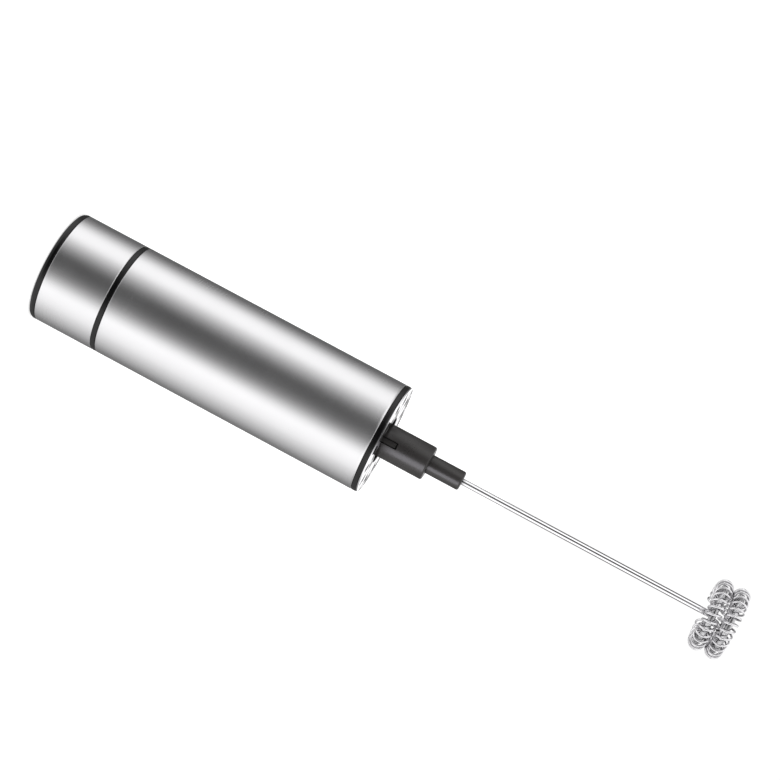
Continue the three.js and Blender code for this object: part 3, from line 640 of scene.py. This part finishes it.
# ---- stage: pale floor, soft studio light, camera ----------------------------------------------------
floor_mesh = bpy.data.meshes.new("floor")
s = 6.0
floor_mesh.from_pydata([(-s, -s, -2e-5), (s, -s, -2e-5), (s, s, -2e-5), (-s, s, -2e-5)], [], [(0, 1, 2, 3)])
floor = bpy.data.objects.new("floor", floor_mesh)
bpy.context.scene.collection.objects.link(floor)
m = Mat("floor", Roughness=0.9, Specular_IOR_Level=0.1, Emission_Strength=0.6)
m.bsdf.inputs["Emission Color"].default_value = rgb(1, 1, 1)
m.bsdf.inputs["Base Color"].default_value = rgb(0.92, 0.92, 0.92)
from_below = m.node("MixShader")
m.tree.links.new(m.node("NewGeometry").outputs["Backfacing"], from_below.inputs[0])
m.tree.links.new(m.bsdf.outputs[0], from_below.inputs[1])
m.tree.links.new(m.node("BsdfTransparent").outputs[0], from_below.inputs[2])
m.tree.links.new(from_below.outputs[0], m.out.inputs["Surface"])
floor_mesh.materials.append(m.mat)
floor.visible_glossy = False

# a slim soft box that only the dark plastic of the hub and collar takes its sheen from
strip_data = bpy.data.lights.new("strip", "AREA")
strip_data.shape, strip_data.size, strip_data.size_y, strip_data.energy = "RECTANGLE", 0.42, 0.5, 2.2
strip_data.color = (0.93, 0.9, 1.0)
strip = bpy.data.objects.new("strip", strip_data)
bpy.context.scene.collection.objects.link(strip)
strip.location = (0.6 * math.sin(math.radians(46)), -0.6 * math.cos(math.radians(46)), 0.09)
strip.rotation_euler = (Vector((0, 0, 0.11)) - strip.location).to_track_quat("-Z", "Y").to_euler()
sheen = bpy.data.collections.new("sheen")
for o in (hub_piece, collar_piece):
    sheen.objects.link(o)
strip.light_linking.receiver_collection = sheen

world = bpy.data.worlds.new("studio")
bpy.context.scene.world = world
world.use_nodes = True
wt = world.node_tree
wt.nodes.clear()


def wnode(kind, **values):
    n = wt.nodes.new("ShaderNode" + kind)
    for k, v in values.items():
        setattr(n, k, v)
    return n


def wmath(op, a, b=0.5, clamp=False):
    n = wnode("Math", operation=op, use_clamp=clamp)
    for sck, v in zip(n.inputs, (a, b)):
        if isinstance(v, bpy.types.NodeSocket):
            wt.links.new(v, sck)
        else:
            sck.default_value = v
    return n.outputs[0]


sep = wnode("SeparateXYZ")
wt.links.new(wnode("TexCoord").outputs["Generated"], sep.inputs[0])
psi = wmath("ARCTAN2", wmath("MULTIPLY", sep.outputs[0], -1.0), wmath("MULTIPLY", sep.outputs[1], -1.0))
turn = wmath("ADD", wmath("DIVIDE", psi, 2 * math.pi), 0.5)


def ramp(stops):
    """Brightness by azimuth in degrees, as one colour ramp."""
    n = wnode("ValToRGB")
    n.color_ramp.interpolation = "EASE"
    e = n.color_ramp.elements
    while len(e) > 1:
        e.remove(e[-1])
    for i, (deg, v) in enumerate(stops):
        x = deg / 360 + 0.5
        k = e[0] if i == 0 else e.new(x)
        k.position = x
        k.color = (v, v, v, 1)
    wt.links.new(turn, n.inputs[0])
    return n.outputs[0]


# long soft boxes either side of a dark centre, as seen in the side of a vertical cylinder
SIDE = [(-180, .19), (-165, .19), (-146, .20), (-128, .385), (-112, .60), (-95, .84), (-80, 1.1), (-66, 1.22), (-50, 1.33),
        (-40, 1.14), (-30, .69), (-20, .35), (-10, .18), (0, .118), (12, .084), (20, .086), (28, .147), (40, .37), (52, .68),
        (62, 1.0), (70, 1.24), (92, 1.22), (102, .95), (114, .56), (128, .26), (146, .12), (165, .15), (180, .19)]
low = ramp(SIDE)
WIRES = [(-180, .16), (-150, .1), (-125, .1), (-104, .16), (-92, .6), (-80, 1.3), (-45, 1.6), (-32, 1.15), (-19, .42), (-10, .08), (-1, .04),
         (11, .04), (20, .1), (27, .42), (35, 1.05), (41, 1.6), (66, 1.5), (76, .8), (84, .4), (98, .13), (116, .08), (150, .1), (180, .16)]
upper = ramp(WIRES)
high = ramp([(-180, .5), (-140, .55), (-105, .85), (-60, 1.2), (-28, .75), (0, .38), (28, .75), (60, 1.2), (105, .85), (140, .55), (180, .5)])


def smooth(value, lo, hi):
    n = wnode("MapRange", interpolation_type="SMOOTHSTEP")
    wt.links.new(value, n.inputs[0])
    for i, v in ((1, lo), (2, hi), (3, 0.0), (4, 1.0)):
        n.inputs[i].default_value = v
    return n.outputs[0]


def wmix(fac, x, y):
    n = wnode("Mix", data_type="RGBA")
    for i, v in ((0, fac), (6, x), (7, y)):
        if isinstance(v, bpy.types.NodeSocket):
            wt.links.new(v, n.inputs[i])
        else:
            n.inputs[i].default_value = v
    return n.outputs[2]


height = sep.outputs[2]
walls = wmix(smooth(height, 0.025, 0.05), low, upper)
walls = wmix(smooth(height, 0.16, 0.3), walls, high)
walls = wmix(wmath("MULTIPLY", smooth(wmath("MULTIPLY", height, -1.0), 0.4, 0.7), 0.5), walls, rgb(0.9, 0.9, 0.9))  # light thrown back by the table
walls = wmix(smooth(height, 0.72, 0.95), walls, rgb(0.95, 0.95, 0.95))  # the boxes end overhead in an even ceiling
behind = wmath("MULTIPLY", smooth(wmath("ABSOLUTE", psi), math.radians(163), math.radians(172)), smooth(height, 0.0, 0.06))
sky = wmix(behind, walls, rgb(1.15, 1.15, 1.15))  # a bright backdrop behind the object
light = wnode("Background")
wt.links.new(sky, light.inputs[0])
plain = wnode("Background")
plain.inputs[0].default_value = rgb(1, 1, 1)
plain.inputs[1].default_value = 1.05
pick = wnode("MixShader")
wt.links.new(wnode("LightPath").outputs["Is Camera Ray"], pick.inputs[0])
wt.links.new(light.outputs[0], pick.inputs[1])
wt.links.new(plain.outputs[0], pick.inputs[2])
wt.links.new(pick.outputs[0], wnode("OutputWorld").inputs[0])

cam_data = bpy.data.cameras.new("camera")
cam_data.lens, cam_data.sensor_width, cam_data.sensor_fit = 105.31, 36.0, "HORIZONTAL"
cam_data.clip_start, cam_data.clip_end = 0.02, 50.0
cam = bpy.data.objects.new("camera", cam_data)
bpy.context.scene.collection.objects.link(cam)
eye, aim, roll = Vector((-12.651, -617.409, 153.831)) * M, Vector((-12.651, 0, 97.207)) * M, math.radians(118.09)
forward = (aim - eye).normalized()
right0 = forward.cross(Vector((0, 0, 1))).normalized()
up0 = right0.cross(forward)
right = right0 * math.cos(roll) + up0 * math.sin(roll)
up = up0 * math.cos(roll) - right0 * math.sin(roll)
cam.matrix_world = Matrix(((right.x, up.x, -forward.x, eye.x), (right.y, up.y, -forward.y, eye.y), (right.z, up.z, -forward.z, eye.z), (0, 0, 0, 1)))
bpy.context.scene.camera = cam
bpy.context.scene.view_settings.view_transform = "Standard"
bpy.context.scene.render.filter_size = 1.05
